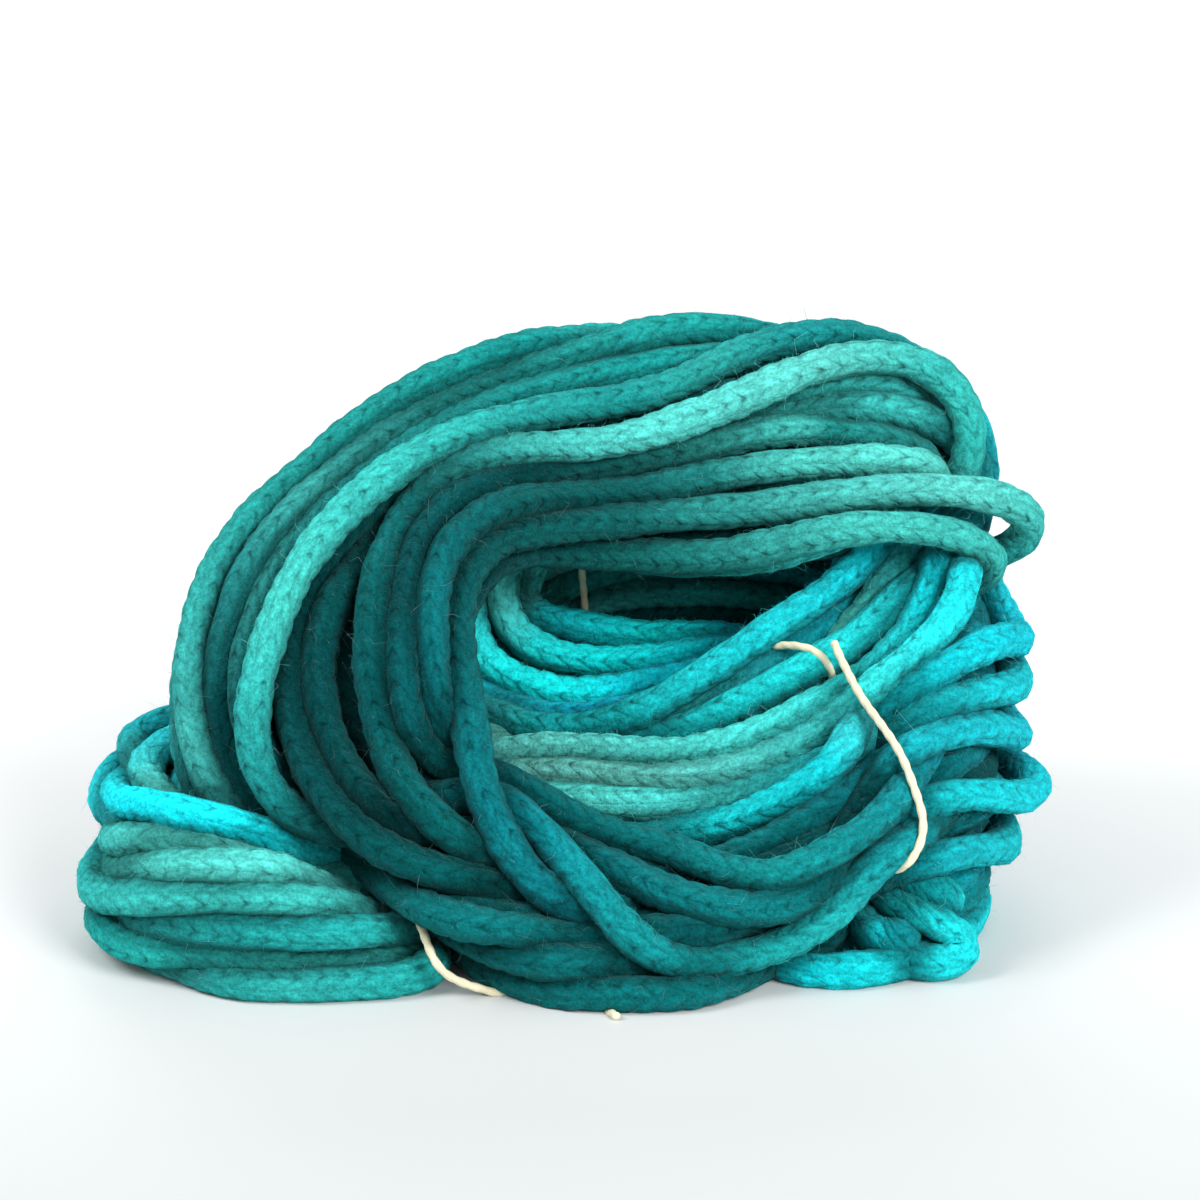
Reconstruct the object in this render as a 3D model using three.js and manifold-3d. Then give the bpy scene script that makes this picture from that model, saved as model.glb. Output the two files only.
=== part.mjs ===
// A hank of chunky hand-dyed wool yarn, folded over on itself and lying on a table.
// Millimetres, +Z up, +Y away from the viewer; the origin is at the middle of the footprint, on the table.
// The hank is one long closed band of twenty turns of yarn. The band is drawn as a closed row of
// sections, joined into one solid, and the cotton ties lie in grooves of their own.
import * as THREE from 'three';
import { mergeVertices } from 'three/addons/utils/BufferGeometryUtils.js';
import Module from 'manifold-3d';

// driving sizes
const YARN = 9;              // thickness of one turn of yarn
const TURNS_FACE = 7;        // turns side by side on each wide face of the band
const RIB_DEPTH = 1.9;       // how deep the grooves between neighbouring turns are
const TIE = 2;               // thickness of a cotton tie
const TIE_GAP = 0.4;         // space left round a tie
const TABLE_CUT = 1.6;       // how much of the lowest turns is pressed flat on the table
const FINEST = 0.04;         // details smaller than this are not kept
const SHIFT_X = 6.15;        // moves the table's frame to the middle of the footprint
const SHIFT_Y = 7.9;

// The path of the band, once round: centre, half of its width as a vector, and thickness.
const PATH = {
  columns: ['x', 'y', 'z', 'wx', 'wy', 'wz', 'thick', 'loose'],
  top_right:       [68, 19, 107, 2, 18, 20, 22, 1.4],
  top_mid_right:   [46, 22, 106, 0, 21, 24, 20, 1.0],
  top_mid:         [22, 23, 106, 0, 22, 25, 20, 0.8],
  top_mid_left:    [0, 21, 106, 0, 22, 24, 20, 0.8],
  top_left:        [-21, 15, 105, -4, 21, 19, 22, 0.8],
  shoulder_high:   [-38, 4, 100, -10, 21, 13, 24, 0.8],
  shoulder:        [-52, -11, 90, -19, 21, 9, 23, 0.8],
  left_high:       [-63, -24, 79, -26, 20, 7, 21, 0.8],
  left_mid:        [-67, -37, 64, -32, 17, 2, 19, 0.8],
  left_low:        [-62, -49, 48, -35, 9, -5, 19, 0.8],
  heel:            [-50, -59, 35, -32, 1, -8, 20, 0.8],
  heel_low:        [-33, -62, 26, -24, -7, -8, 21, 0.8],
  bottom_left:     [-13, -61, 18, -17, -14, -7, 22, 0.8],
  bottom:          [8, -61, 14, -13, -18, -7, 24, 0.8],
  bottom_right:    [32, -56, 16, -7, -18, -10, 26, 0.8],
  tie_low:         [60, -43, 31, 5, -11, -15, 28, 0.5],
  right_out:       [79, -29, 43, 5, -10, -23, 25, 1.2],
  right_turn_a:    [91, -14, 48, 3, -6, -30, 20, 2.2],
  right_turn_b:    [94, 8, 52, 1, 0, -31, 19, 2.2],
  right_back:      [84, 32, 60, 0, 0, -30, 19, 1.2],
  back_right:      [60, 48, 70, 0, 4, -26, 21, 0.8],
  back:            [26, 55, 73, 1, 4, -25, 23, 0.8],
  back_left:       [-4, 54, 71, 1, 6, -22, 24, 0.8],
  inner_up:        [-28, 47, 62, 2, 9, -17, 25, 0.8],
  inner_turn:      [-37, 39, 50, 1, 12, -14, 26, 0.8],
  inner_down:      [-27, 33, 41, 0, 12, -14, 27, 0.8],
  bright_left:     [-2, 30, 40, 0, 9, -14, 28, 0.8],
  bright:          [28, 29, 39, 0, 3, -16, 28, 0.8],
  bright_right:    [54, 20, 30, -3, -7, -15, 27, 0.8],
  low_right_back:  [74, 2, 19, -9, -12, -8, 25, 1.0],
  low_turn:        [85, -26, 14, -13, 0, -4, 22, 1.5],
  low_right_front: [71, -50, 12, -6, 12, -3, 22, 1.0],
  low_right_under: [48, -35, 12, 2, 18, 0, 20, 0.6],
  floor_right:     [26, 1, 12, 3, 22, 0, 20, 0.6],
  floor_mid:       [0, 6, 12, 0, 22, 0, 20, 0.6],
  floor_left:      [-26, -16, 13, -8, 18, -6, 21, 0.6],
  low_left_in:     [-45, -51, 14, -5, 9, -11, 22, 0.6],
  low_left_front:  [-68, -65, 16, -2, 0, -14, 22, 0.8],
  low_left_turn:   [-94, -58, 20, -2, -4, -18, 21, 1.2],
  low_left_end:    [-107, -33, 24, -1, -2, -21, 20, 1.4],
  low_left_back:   [-98, -9, 27, -1, 0, -20, 21, 1.0],
  light_in:        [-70, 4, 29, -1, -4, -17, 25, 0.8],
  light_left:      [-36, -3, 28, -1, -11, -13, 27, 0.8],
  light:           [-4, -12, 27, -1, -14, -11, 28, 0.8],
  light_right:     [26, -15, 34, 2, -15, -11, 28, 0.8],
  tie_high:        [54, -10, 53, 8, -13, -10, 28, 0.5],
  rise:            [74, 6, 66, 16, -8, -7, 26, 0.8],
  rise_high:       [88, 20, 82, 17, 0, 0, 22, 0.8],
  top_turn:        [86, 24, 99, 12, 12, 13, 22, 1.2],
};
// Single turns that lie proud of the band, as rows of points from end to end; the ends sink into it.
const LOOSE_TURNS = {
  over_the_shoulder: [[-76, -60, 36], [-80, -53, 51], [-80, -45, 64], [-78, -38, 75], [-72, -30, 87],
    [-64, -21, 96], [-54, -13, 104], [-45, -5, 110], [-34, 3, 113], [-17, 11, 116], [1, 18, 117],
    [18, 21, 119], [32, 26, 122]],
  across_the_top: [[-34, -1, 105], [-19, 2, 110], [3, 9, 111], [24, 14, 115], [41, 20, 121],
    [57, 25, 126], [71, 26, 128], [83, 25, 124], [91, 23, 116], [95, 19, 106], [92, 17, 96]],
  end_loop: [[8, 8, 98], [40, 1, 99], [62, 1, 102], [82, -1, 101], [96, -2, 97], [101, 3, 91],
    [95, 11, 87], [84, 16, 87]],
  end_loop_low: [[4, 8, 87], [38, -5, 89], [58, -7, 93], [76, -7, 92], [89, -5, 88], [93, 2, 83],
    [86, 10, 80]],
  table_loop: [[16, -58, 8], [31, -65, 6], [44, -66, 6], [56, -63, 6], [68, -56, 8], [78, -48, 14]],
  table_loop_right: [[58, -52, 7], [71, -57, 6], [82, -54, 6], [91, -45, 9], [94, -36, 13], [88, -34, 19],
    [76, -39, 22]],
};
// The cotton ties, as rows of points from one end of the thread to the other.
const TIES = {
  tie_right: [[55, -17, 69], [57, -20, 65], [61, -28, 60], [65, -38, 55], [69, -46, 48], [72, -52, 41],
    [74, -56, 34], [73, -60, 28], [68, -60, 23], [62, -54, 19], [57, -42, 19], [53, -28, 24],
    [50, -13, 34], [46, 0, 46], [41, 1, 58], [40, -6, 67], [46, -13, 68], [51, -15, 66], [54, -12, 59]],
  tie_left: [[-52, -70, 22], [-45, -76, 20], [-40, -77, 16], [-36, -76, 11], [-31, -73, 6], [-24, -70, 3],
    [-14, -68, 3], [-4, -72, 3], [2, -80, 3], [4, -86, 3]],
  tie_back: [[-8, 40, 92], [-6, 41, 84], [-5, 41, 72], [-4, 42, 60], [-4, 45, 50], [-5, 55, 46],
    [-6, 65, 50], [-6, 68, 62], [-7, 68, 76], [-8, 66, 90], [-8, 56, 97], [-9, 46, 98]],
};
// Where the closed band is parted for sweeping, so that no length of it runs into itself, and how
// far it bends or twists, in radians, from one section to the next: less where it shows.
const JOINTS = {
  top_mid_right: 0.5,
  heel: 0.6,
  right_turn_b: 0.8,
  inner_turn: 1.0,
  low_turn: 0.95,
  low_left_end: 0.8,
  rise: 0.7,
};

const names = Object.keys(PATH).filter((name) => name !== 'columns');
const rows = names.map((name) => Object.fromEntries(PATH.columns.map((key, k) => [key, PATH[name][k]])));
const COUNT = rows.length;

// A smooth value of some columns at place s along the closed path.
function along(s, keys) {
  const i = Math.floor(s);
  const f = s - i;
  const at = (k, key) => rows[(k + COUNT) % COUNT][key];
  return keys.map((key) => {
    const [a, b, c, d] = [at(i - 1, key), at(i, key), at(i + 1, key), at(i + 2, key)];
    return 0.5 * (2 * b + (c - a) * f + (2 * a - 5 * b + 4 * c - d) * f * f
      + (3 * b - a - 3 * c + d) * f * f * f);
  });
}
const centre = (s) => new THREE.Vector3(...along(s, ['x', 'y', 'z']));

// How far turn k of a face stands out (or lies low) at place s, and how far it strays sideways.
const wave = (k, face, s) => Math.sin(k * 2.4 + face * 1.1 + (2 * Math.PI * 7 * s) / COUNT)
  * Math.cos(k * 1.3 - face * 0.7 + (2 * Math.PI * 4 * s) / COUNT);

// The outline of the band in its own plane: u along the width, v along the thickness. Each wide
// face shows seven rounded turns with a groove between them, and each edge shows three.
function outline(half, thick, loose, s) {
  const points = [];
  const reach = Math.max(half - YARN / 2, YARN * 0.8);
  const pitch = (2 * reach * 0.92) / (TURNS_FACE - 1);
  const groove = Math.min(RIB_DEPTH, pitch * 0.34);
  for (const face of [1, -1]) {
    let corner = 0;
    for (let k = 0; k < TURNS_FACE; k += 1) {
      const u = (k - (TURNS_FACE - 1) / 2) * pitch + 0.12 * pitch * wave(k + 3, face, s + 5);
      const high = thick / 2 + loose * wave(k, face, s);
      points.push([face * (u - 0.27 * pitch), face * high]);
      points.push([face * (u + 0.27 * pitch), face * high]);
      if (k < TURNS_FACE - 1) {
        points.push([face * (k + 0.5 - (TURNS_FACE - 1) / 2) * pitch, face * (thick / 2 - groove)]);
      }
      corner = high;
    }
    // round the edge of the band
    const edge = reach + YARN / 2 + loose * 0.6 * wave(9, face, s);
    points.push([face * (edge - 0.7), face * (corner - YARN * 0.3)]);
    points.push([face * (edge - 1.9), face * thick * 0.2]);
    points.push([face * edge, 0]);
    points.push([face * (edge - 1.9), -face * thick * 0.2]);
    points.push([face * (edge - 0.7), -face * (thick / 2 - YARN * 0.3)]);
  }
  return points;
}

// One section of the band in space. Where the band bends sharply its inner side is squeezed,
// so that neighbouring sections never cross.
function section(s) {
  const mid = centre(s);
  const ahead = centre(s + 0.01);
  const behind = centre(s - 0.01);
  const tangent = ahead.clone().sub(behind).normalize();
  const wide = new THREE.Vector3(...along(s, ['wx', 'wy', 'wz']));
  wide.addScaledVector(tangent, -wide.dot(tangent));
  const half = wide.length();
  wide.normalize();
  const deep = new THREE.Vector3().crossVectors(tangent, wide);
  const [thick, loose] = along(s, ['thick', 'loose']);
  // the bend, as a vector towards its centre with length 1 / radius
  const before = centre(s - 0.35);
  const after = centre(s + 0.35);
  const inward = mid.clone().sub(before).normalize();
  const outward = after.clone().sub(mid).normalize();
  const bend = outward.sub(inward).divideScalar(after.distanceTo(before) / 2);
  const strength = bend.lengthSq();
  return outline(half, thick, loose, s).map(([u, v]) => {
    const offset = wide.clone().multiplyScalar(u).addScaledVector(deep, v);
    const reach = offset.dot(bend);
    if (reach > 0.6) {
      const kept = 0.6 + 0.3 * (1 - Math.exp(-(reach - 0.6) / 0.3));
      offset.addScaledVector(bend, (kept - reach) / strength);
    }
    return offset.add(mid);
  });
}

// how far the band bends and twists between two places on its path, in radians
function turning(from, to) {
  const frame = (s) => {
    const tangent = centre(s + 0.01).sub(centre(s - 0.01)).normalize();
    const wide = new THREE.Vector3(...along(s, ['wx', 'wy', 'wz']));
    return [tangent, wide.addScaledVector(tangent, -wide.dot(tangent)).normalize()];
  };
  let total = 0;
  for (let i = 0; i < 4; i += 1) {
    const [t0, w0] = frame(from + (to - from) * i / 4);
    const [t1, w1] = frame(from + (to - from) * (i + 1) / 4);
    total += t0.angleTo(t1) + 0.5 * w0.angleTo(w1);
  }
  return total;
}

// A closed solid through rings of points, its two ends capped with the same triangles that the
// neighbouring length uses.
function loft(rings, capStart, capEnd) {
  const n = rings[0].length;
  const position = rings.flat().flatMap((p) => [p.x, p.y, p.z]);
  const index = [];
  for (let i = 0; i + 1 < rings.length; i += 1) {
    for (let j = 0; j < n; j += 1) {
      const a = i * n + j;
      const b = i * n + ((j + 1) % n);
      index.push(a, b + n, b, a, a + n, b + n);
    }
  }
  const last = (rings.length - 1) * n;
  for (const [a, b, c] of capStart) index.push(a, c, b);
  for (const [a, b, c] of capEnd) index.push(last + a, last + b, last + c);
  const geometry = new THREE.BufferGeometry();
  geometry.setAttribute('position', new THREE.Float32BufferAttribute(position, 3));
  geometry.setIndex(index);
  return geometry;
}

const wasm = await Module();
wasm.setup();

function toSolid(geometry) {
  const bare = geometry.clone();
  bare.deleteAttribute('normal');
  bare.deleteAttribute('uv');
  const merged = mergeVertices(bare, 1e-5);
  return new wasm.Manifold(new wasm.Mesh({
    numProp: 3,
    vertProperties: new Float32Array(merged.attributes.position.array),
    triVerts: new Uint32Array(merged.index.array),
  }));
}

// Draws the two ends of every very short edge together, where that keeps the surface closed.
function withoutShortEdges(points, faces) {
  const neighbours = new Map();
  const touching = new Map();
  const note = (map, key, value) => {
    if (!map.has(key)) map.set(key, new Set());
    map.get(key).add(value);
  };
  faces.forEach((face, f) => face.forEach((v, k) => {
    note(touching, v, f);
    note(neighbours, v, face[(k + 1) % 3]);
    note(neighbours, v, face[(k + 2) % 3]);
  }));
  const gone = new Set();
  for (let f = 0; f < faces.length; f += 1) {
    for (let k = 0; k < 3 && !gone.has(f); k += 1) {
      const keep = faces[f][k];
      const drop = faces[f][(k + 1) % 3];
      if (keep === drop || points[keep].distanceTo(points[drop]) > FINEST) continue;
      const shared = [...neighbours.get(keep)].filter((v) => neighbours.get(drop).has(v));
      if (shared.length !== 2) continue;
      for (const g of [...touching.get(drop)]) {
        if (gone.has(g)) continue;
        if (faces[g].includes(keep)) {
          gone.add(g);
          continue;
        }
        faces[g] = faces[g].map((v) => (v === drop ? keep : v));
        touching.get(keep).add(g);
      }
      for (const v of neighbours.get(drop)) {
        neighbours.get(v).delete(drop);
        if (v !== keep) {
          neighbours.get(v).add(keep);
          neighbours.get(keep).add(v);
        }
      }
      k = 3;
    }
  }
  return faces.filter((_, f) => !gone.has(f));
}

function toGeometry(solid) {
  const mesh = solid.getMesh();
  const points = [];
  for (let i = 0; i < mesh.vertProperties.length; i += 3) {
    points.push(new THREE.Vector3().fromArray(mesh.vertProperties, i));
  }
  let faces = [];
  for (let i = 0; i < mesh.triVerts.length; i += 3) faces.push([...mesh.triVerts.slice(i, i + 3)]);
  for (let pass = 0; pass < 4; pass += 1) faces = withoutShortEdges(points, faces);
  const geometry = new THREE.BufferGeometry();
  geometry.setAttribute('position', new THREE.Float32BufferAttribute(points.flatMap((p) => p.toArray()), 3));
  geometry.setIndex(faces.flat());
  geometry.computeVertexNormals();
  return geometry;
}

// the triangles that close a ring, found in the plane that fits it best
function capTriangles(ring) {
  const mid = ring.reduce((sum, p) => sum.add(p), new THREE.Vector3()).divideScalar(ring.length);
  const normal = new THREE.Vector3();
  ring.forEach((p, j) => {
    const q = ring[(j + 1) % ring.length];
    normal.add(p.clone().sub(mid).cross(q.clone().sub(mid)));
  });
  normal.normalize();
  const across = ring[0].clone().sub(mid);
  across.addScaledVector(normal, -across.dot(normal)).normalize();
  const up = new THREE.Vector3().crossVectors(normal, across);
  const flat = ring.map((p) => new THREE.Vector2(p.clone().sub(mid).dot(across), p.clone().sub(mid).dot(up)));
  const faces = THREE.ShapeUtils.triangulateShape(flat, []);
  const area = faces.reduce((sum, [i, j, k]) => sum + THREE.ShapeUtils.area([flat[i], flat[j], flat[k]]), 0);
  // the points run with the sun seen from ahead, so the faces are turned the other way
  return area > 0 ? faces.map(([i, j, k]) => [i, k, j]) : faces;
}

// a smaller section a little further on, which keys one length into the next
function tongue(s) {
  const mid = centre(s + 0.3);
  return section(s + 0.3).map((p) => p.sub(mid).multiplyScalar(0.8).add(mid));
}

// the band, length by length
const lengths = [];
const places = Object.keys(JOINTS).map((name) => names.indexOf(name));
const bends = Object.values(JOINTS);
places.forEach((from, k) => {
  const to = k + 1 < places.length ? places[k + 1] : places[0] + COUNT;
  const rings = [];
  for (let row = from; row < to; row += 1) {
    const steps = Math.max(1, Math.min(3, Math.round(turning(row, row + 1) / bends[k])));
    for (let i = 0; i < steps; i += 1) rings.push(section(row + i / steps));
  }
  rings.push(section(to), tongue(to));
  lengths.push(toSolid(loft(rings, capTriangles(rings[0]), capTriangles(rings.at(-1)))));
});
let hank = wasm.Manifold.union(lengths);

// A closed tube along a row of points. Its ring of sides is carried along without twisting.
function cord(points, radius, sides, steps) {
  const curve = new THREE.CatmullRomCurve3(points.map((p) => new THREE.Vector3(...p)), false, 'catmullrom', 0.5);
  const stops = Array.from({ length: steps + 1 }, (_, i) => i / steps);
  const side = new THREE.Vector3(0.3, 0.5, 0.8);
  const rings = stops.map((t) => {
    const mid = curve.getPointAt(t);
    const tangent = curve.getTangentAt(t);
    side.addScaledVector(tangent, -side.dot(tangent)).normalize();
    const up = new THREE.Vector3().crossVectors(tangent, side);
    return Array.from({ length: sides }, (_, j) => {
      const turn = (-2 * Math.PI * j) / sides;
      return mid.clone().addScaledVector(side, radius * Math.cos(turn)).addScaledVector(up, radius * Math.sin(turn));
    });
  });
  return loft(rings, capTriangles(rings[0]), capTriangles(rings.at(-1)));
}

for (const points of Object.values(LOOSE_TURNS)) {
  hank = hank.add(toSolid(cord(points, YARN / 2, 7, points.length)));
}

// press the lowest turns flat on the table
const tableTop = new THREE.BoxGeometry(400, 400, 60);
tableTop.translate(0, 0, TABLE_CUT - 30);
hank = hank.subtract(toSolid(tableTop));

// each tie lies in a groove a little wider than itself
for (const points of Object.values(TIES)) {
  hank = hank.subtract(toSolid(cord(points, TIE / 2 + TIE_GAP, 5, Math.round(points.length * 1.5))));
}

// small spaces closed off between the folds are filled: only the outer body is kept
const bodies = hank.decompose();
bodies.sort((a, b) => b.volume() - a.volume());
hank = bodies[0];

const cotton = new THREE.MeshStandardMaterial({ color: 0xe6dfc4, roughness: 0.85, metalness: 0 });
const wool = new THREE.MeshStandardMaterial({ color: 0x1d8f92, roughness: 0.95, metalness: 0 });

const skein = new THREE.Group();
const body = new THREE.Mesh(toGeometry(hank), wool);
body.name = 'hank';
const all = new THREE.Group();
all.add(body);
for (const [name, points] of Object.entries(TIES)) {
  const tie = new THREE.Mesh(cord(points, TIE / 2, 5, Math.round(points.length * 1.5)), cotton);
  tie.name = name;
  all.add(tie);
}
all.position.set(SHIFT_X, SHIFT_Y, -TABLE_CUT);
skein.add(all);

export default skein;
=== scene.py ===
import math

import bpy
import numpy as np
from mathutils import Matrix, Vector


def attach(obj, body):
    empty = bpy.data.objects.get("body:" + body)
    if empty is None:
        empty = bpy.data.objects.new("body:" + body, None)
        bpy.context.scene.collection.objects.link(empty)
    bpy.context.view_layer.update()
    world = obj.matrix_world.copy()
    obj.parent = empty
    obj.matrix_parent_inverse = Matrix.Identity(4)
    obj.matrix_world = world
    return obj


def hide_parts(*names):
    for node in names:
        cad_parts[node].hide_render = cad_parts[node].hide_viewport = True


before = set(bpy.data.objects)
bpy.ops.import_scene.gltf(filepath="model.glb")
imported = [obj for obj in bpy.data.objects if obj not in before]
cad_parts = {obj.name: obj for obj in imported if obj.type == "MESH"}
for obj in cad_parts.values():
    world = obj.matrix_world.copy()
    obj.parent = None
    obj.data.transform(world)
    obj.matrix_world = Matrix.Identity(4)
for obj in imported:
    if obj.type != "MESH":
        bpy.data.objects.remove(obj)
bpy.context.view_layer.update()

MM = 0.001

# The camera stands 0.8 m from the middle of the hank, a little above it, and looks down at 16 degrees.
# A long lens keeps the hank's sides nearly parallel, and colours are shown without a film curve.
PHOTO_PX = 1200
FOCAL_PX = 3360
SENSOR_MM = 36.0
CAMERA_AWAY = 0.8
CAMERA_SEES_TO = 20
CAMERA_PITCH = math.radians(16)
AIM = np.array([6.15, 7.9, 71.8]) * MM

photo_camera = bpy.data.cameras.new("photo_camera")
photo_camera.sensor_width = SENSOR_MM
photo_camera.lens = SENSOR_MM * FOCAL_PX / PHOTO_PX
photo_camera.clip_end = CAMERA_SEES_TO
camera = bpy.data.objects.new("photo_camera", photo_camera)
camera.location = AIM + CAMERA_AWAY * np.array([0, -math.cos(CAMERA_PITCH), math.sin(CAMERA_PITCH)])
camera.rotation_euler = (math.pi / 2 - CAMERA_PITCH, 0, 0)
bpy.context.scene.collection.objects.link(camera)
bpy.context.scene.camera = camera
bpy.context.scene.view_settings.view_transform = "Standard"

# The hank: twenty turns of yarn lie side by side in one closed band, which is folded over on itself.
# Each row is a section of the band: its middle, half of its width as a vector, and its thickness, in mm.
# The rows follow the part's, in the table's frame, and SHIFT brings them to the footprint's middle.
SHIFT = np.array([6.15, 7.9, -1.6])
BAND = {
    "top_right": (66, 20, 107, 2, 18, 20, 22),
    "top_mid_right": (46, 22, 106, 0, 21, 24, 20),
    "top_mid": (22, 23, 106, 0, 22, 25, 20),
    "top_mid_left": (0, 21, 106, 0, 22, 24, 20),
    "top_left": (-21, 15, 105, -4, 21, 19, 22),
    "shoulder_high": (-38, 4, 100, -10, 21, 13, 24),
    "shoulder": (-52, -11, 90, -19, 21, 9, 23),
    "left_high": (-63, -24, 79, -26, 20, 7, 21),
    "left_mid": (-67, -37, 64, -32, 17, 2, 19),
    "left_low": (-62, -49, 48, -35, 9, -5, 19),
    "heel": (-50, -59, 35, -32, 1, -8, 20),
    "heel_low": (-33, -62, 26, -24, -7, -8, 21),
    "bottom_left": (-13, -61, 18, -17, -14, -7, 22),
    "bottom": (8, -61, 14, -13, -18, -7, 24),
    "bottom_right": (32, -56, 16, -7, -18, -10, 26),
    "tie_low": (60, -43, 31, 5, -11, -15, 28),
    "right_out": (77, -28, 42, 5, -10, -19, 24),
    "right_turn_a": (85, -13, 43, 3, -6, -22, 20),
    "right_turn_b": (86, 9, 46, 1, 0, -24, 19),
    "right_back": (79, 32, 58, 0, 0, -28, 19),
    "back_right": (60, 48, 70, 0, 4, -26, 21),
    "back": (26, 55, 73, 1, 4, -25, 23),
    "back_left": (-4, 54, 71, 1, 6, -22, 24),
    "inner_up": (-28, 47, 62, 2, 9, -17, 25),
    "inner_turn": (-37, 39, 50, 1, 12, -14, 26),
    "inner_down": (-27, 33, 41, 0, 12, -14, 27),
    "bright_left": (-2, 30, 40, 0, 9, -14, 28),
    "bright": (28, 29, 39, 0, 3, -16, 28),
    "bright_right": (54, 20, 30, -3, -7, -15, 27),
    "low_right_back": (70, 2, 19, -9, -12, -8, 25),
    "low_turn": (77, -25, 14, -13, 0, -4, 22),
    "low_right_front": (68, -48, 12, -6, 12, -3, 22),
    "low_right_under": (48, -35, 12, 2, 18, 0, 20),
    "floor_right": (26, 1, 12, 3, 22, 0, 20),
    "floor_mid": (0, 6, 12, 0, 22, 0, 20),
    "floor_left": (-26, -16, 13, -8, 18, -6, 21),
    "low_left_in": (-45, -51, 14, -5, 9, -11, 22),
    "low_left_front": (-68, -65, 16, -2, 0, -14, 22),
    "low_left_turn": (-94, -58, 20, -2, -4, -18, 21),
    "low_left_end": (-107, -33, 24, -1, -2, -21, 20),
    "low_left_back": (-98, -9, 27, -1, 0, -20, 21),
    "light_in": (-70, 4, 29, -1, -4, -17, 25),
    "light_left": (-36, -3, 28, -1, -11, -13, 27),
    "light": (-4, -12, 27, -1, -14, -11, 28),
    "light_right": (26, -15, 34, 2, -15, -11, 28),
    "tie_high": (54, -10, 53, 8, -13, -10, 28),
    "rise": (70, 6, 66, 13, -7, -7, 28),
    "rise_high": (77, 19, 82, 13, 2, 0, 26),
    "top_turn": (80, 25, 98, 8, 14, 13, 24),
}
ROWS = np.array(list(BAND.values()), float)
ROWS[:, :3] += SHIFT
ROWS *= MM
PLACE = {name: k for k, name in enumerate(BAND)}
YARN = 9 * MM


def along(rows, s):
    """Smooth values of a closed table of rows at the places s: a Catmull-Rom cubic through the rows,
    where each stretch leaves and meets its rows along the line between their two neighbours."""
    count = len(rows)
    i = np.floor(s).astype(int)
    f = (s - i)[..., None]
    a, b, c, d = (rows[(i + k) % count] for k in (-1, 0, 1, 2))
    return 0.5 * (2 * b + (c - a) * f + (2 * a - 5 * b + 4 * c - d) * f**2 + (3 * b - a - 3 * c + d) * f**3)


def unit(v):
    """Vectors of length one along v."""
    return v / np.maximum(np.linalg.norm(v, axis=-1, keepdims=True), 1e-12)


# NEARBY and HALF_CHORD are steps along the band, in rows. A bend of 30 mm radius counts as gentle. On a
# bend's inner side the turns lie within 0.6 of its radius, or draw together up to 0.9 of it.
GENTLE_BEND = 1 / 0.03
NEARBY = 0.01
HALF_CHORD = 0.35
INNER_SIDE = 0.6
INNER_ROOM = 0.3


def in_band(s, across, through, slack=0.0):
    """Points in the band at places s: across runs from -1 to 1 over its width and through from -1 to 1
    over its thickness, both to the middle of the outermost turns. On the inner side of a sharp bend
    the points draw together, so that they never pass the bend's own centre, and slack moves a point
    outwards in a bend, by up to its own length. Also gives the width's direction."""
    row = along(ROWS, s)
    middle, wide, thick = row[..., :3], row[..., 3:6], row[..., 6:7]
    ahead = unit(along(ROWS, s + NEARBY)[..., :3] - along(ROWS, s - NEARBY)[..., :3])
    wide = wide - (wide * ahead).sum(-1, keepdims=True) * ahead
    half = np.linalg.norm(wide, axis=-1, keepdims=True)
    wide = wide / half
    deep = np.cross(ahead, wide)
    reach = np.maximum(half - YARN / 2, YARN * 0.8)
    offset = wide * reach * across[..., None] + deep * (thick - YARN) / 2 * through[..., None]
    before = along(ROWS, s - HALF_CHORD)[..., :3]
    after = along(ROWS, s + HALF_CHORD)[..., :3]
    chord = np.linalg.norm(after - before, axis=-1, keepdims=True)
    bend = (unit(after - middle) - unit(middle - before)) / (chord / 2)
    inward = (offset * bend).sum(-1, keepdims=True)
    kept = INNER_SIDE + INNER_ROOM * (1 - np.exp(-(inward - INNER_SIDE) / INNER_ROOM))
    strength = np.maximum((bend**2).sum(-1, keepdims=True), 1e-12)
    offset = offset + np.where(inward > INNER_SIDE, (kept - inward) / strength, 0) * bend
    sharp = np.sqrt(strength) / (np.sqrt(strength) + GENTLE_BEND)
    return middle + offset - unit(bend) * sharp * np.asarray(slack)[..., None], wide


# The turns: ten lie side by side on each wide face of the band. Where the band is drawn together every
# second one sinks behind its neighbours. They creep round the band where the hank is twisted, and each
# strays a little, because the hank was wound by hand and has been folded since.
FACE_TURNS = 10
COUNT = 2 * FACE_TURNS
FACE_ACROSS = np.linspace(-1, 1, FACE_TURNS)
RING_PLACES = np.array([(x, -1) for x in FACE_ACROSS] + [(-x, 1) for x in FACE_ACROSS])
WIDE_BAND = 27 * MM
DRAWN_BAND = 18 * MM
SINK = 0.62
CREEP = {
    "floor_mid": 0, "low_left_front": 1.0, "light": 2.0, "rise_high": 2.4, "top_right": 2.0,
    "top_mid": 0.9, "top_left": 0, "heel": -0.4, "right_turn_b": 0.2, "low_turn": 0,
}
ASIDE_STRAY = 0.32
THROUGH_STRAY = 0.12
SLACK = 3.2 * MM
TURN_POINTS = 336
FINE = 6
START = PLACE["floor_mid"]
random = np.random.default_rng(11)


def stray(count, cycles, size):
    """A slow random wave for each turn that closes on itself: a sum of sines with whole numbers of
    cycles once round the band."""
    s = np.linspace(0, 2 * np.pi, TURN_POINTS * FINE, endpoint=False)
    total = 0
    for n in cycles:
        phase = random.uniform(0, 2 * np.pi, (count, 1))
        total = total + random.normal(0, 1, (count, 1)) * np.sin(n * s + phase)
    return size * total / math.sqrt(len(cycles))


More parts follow.
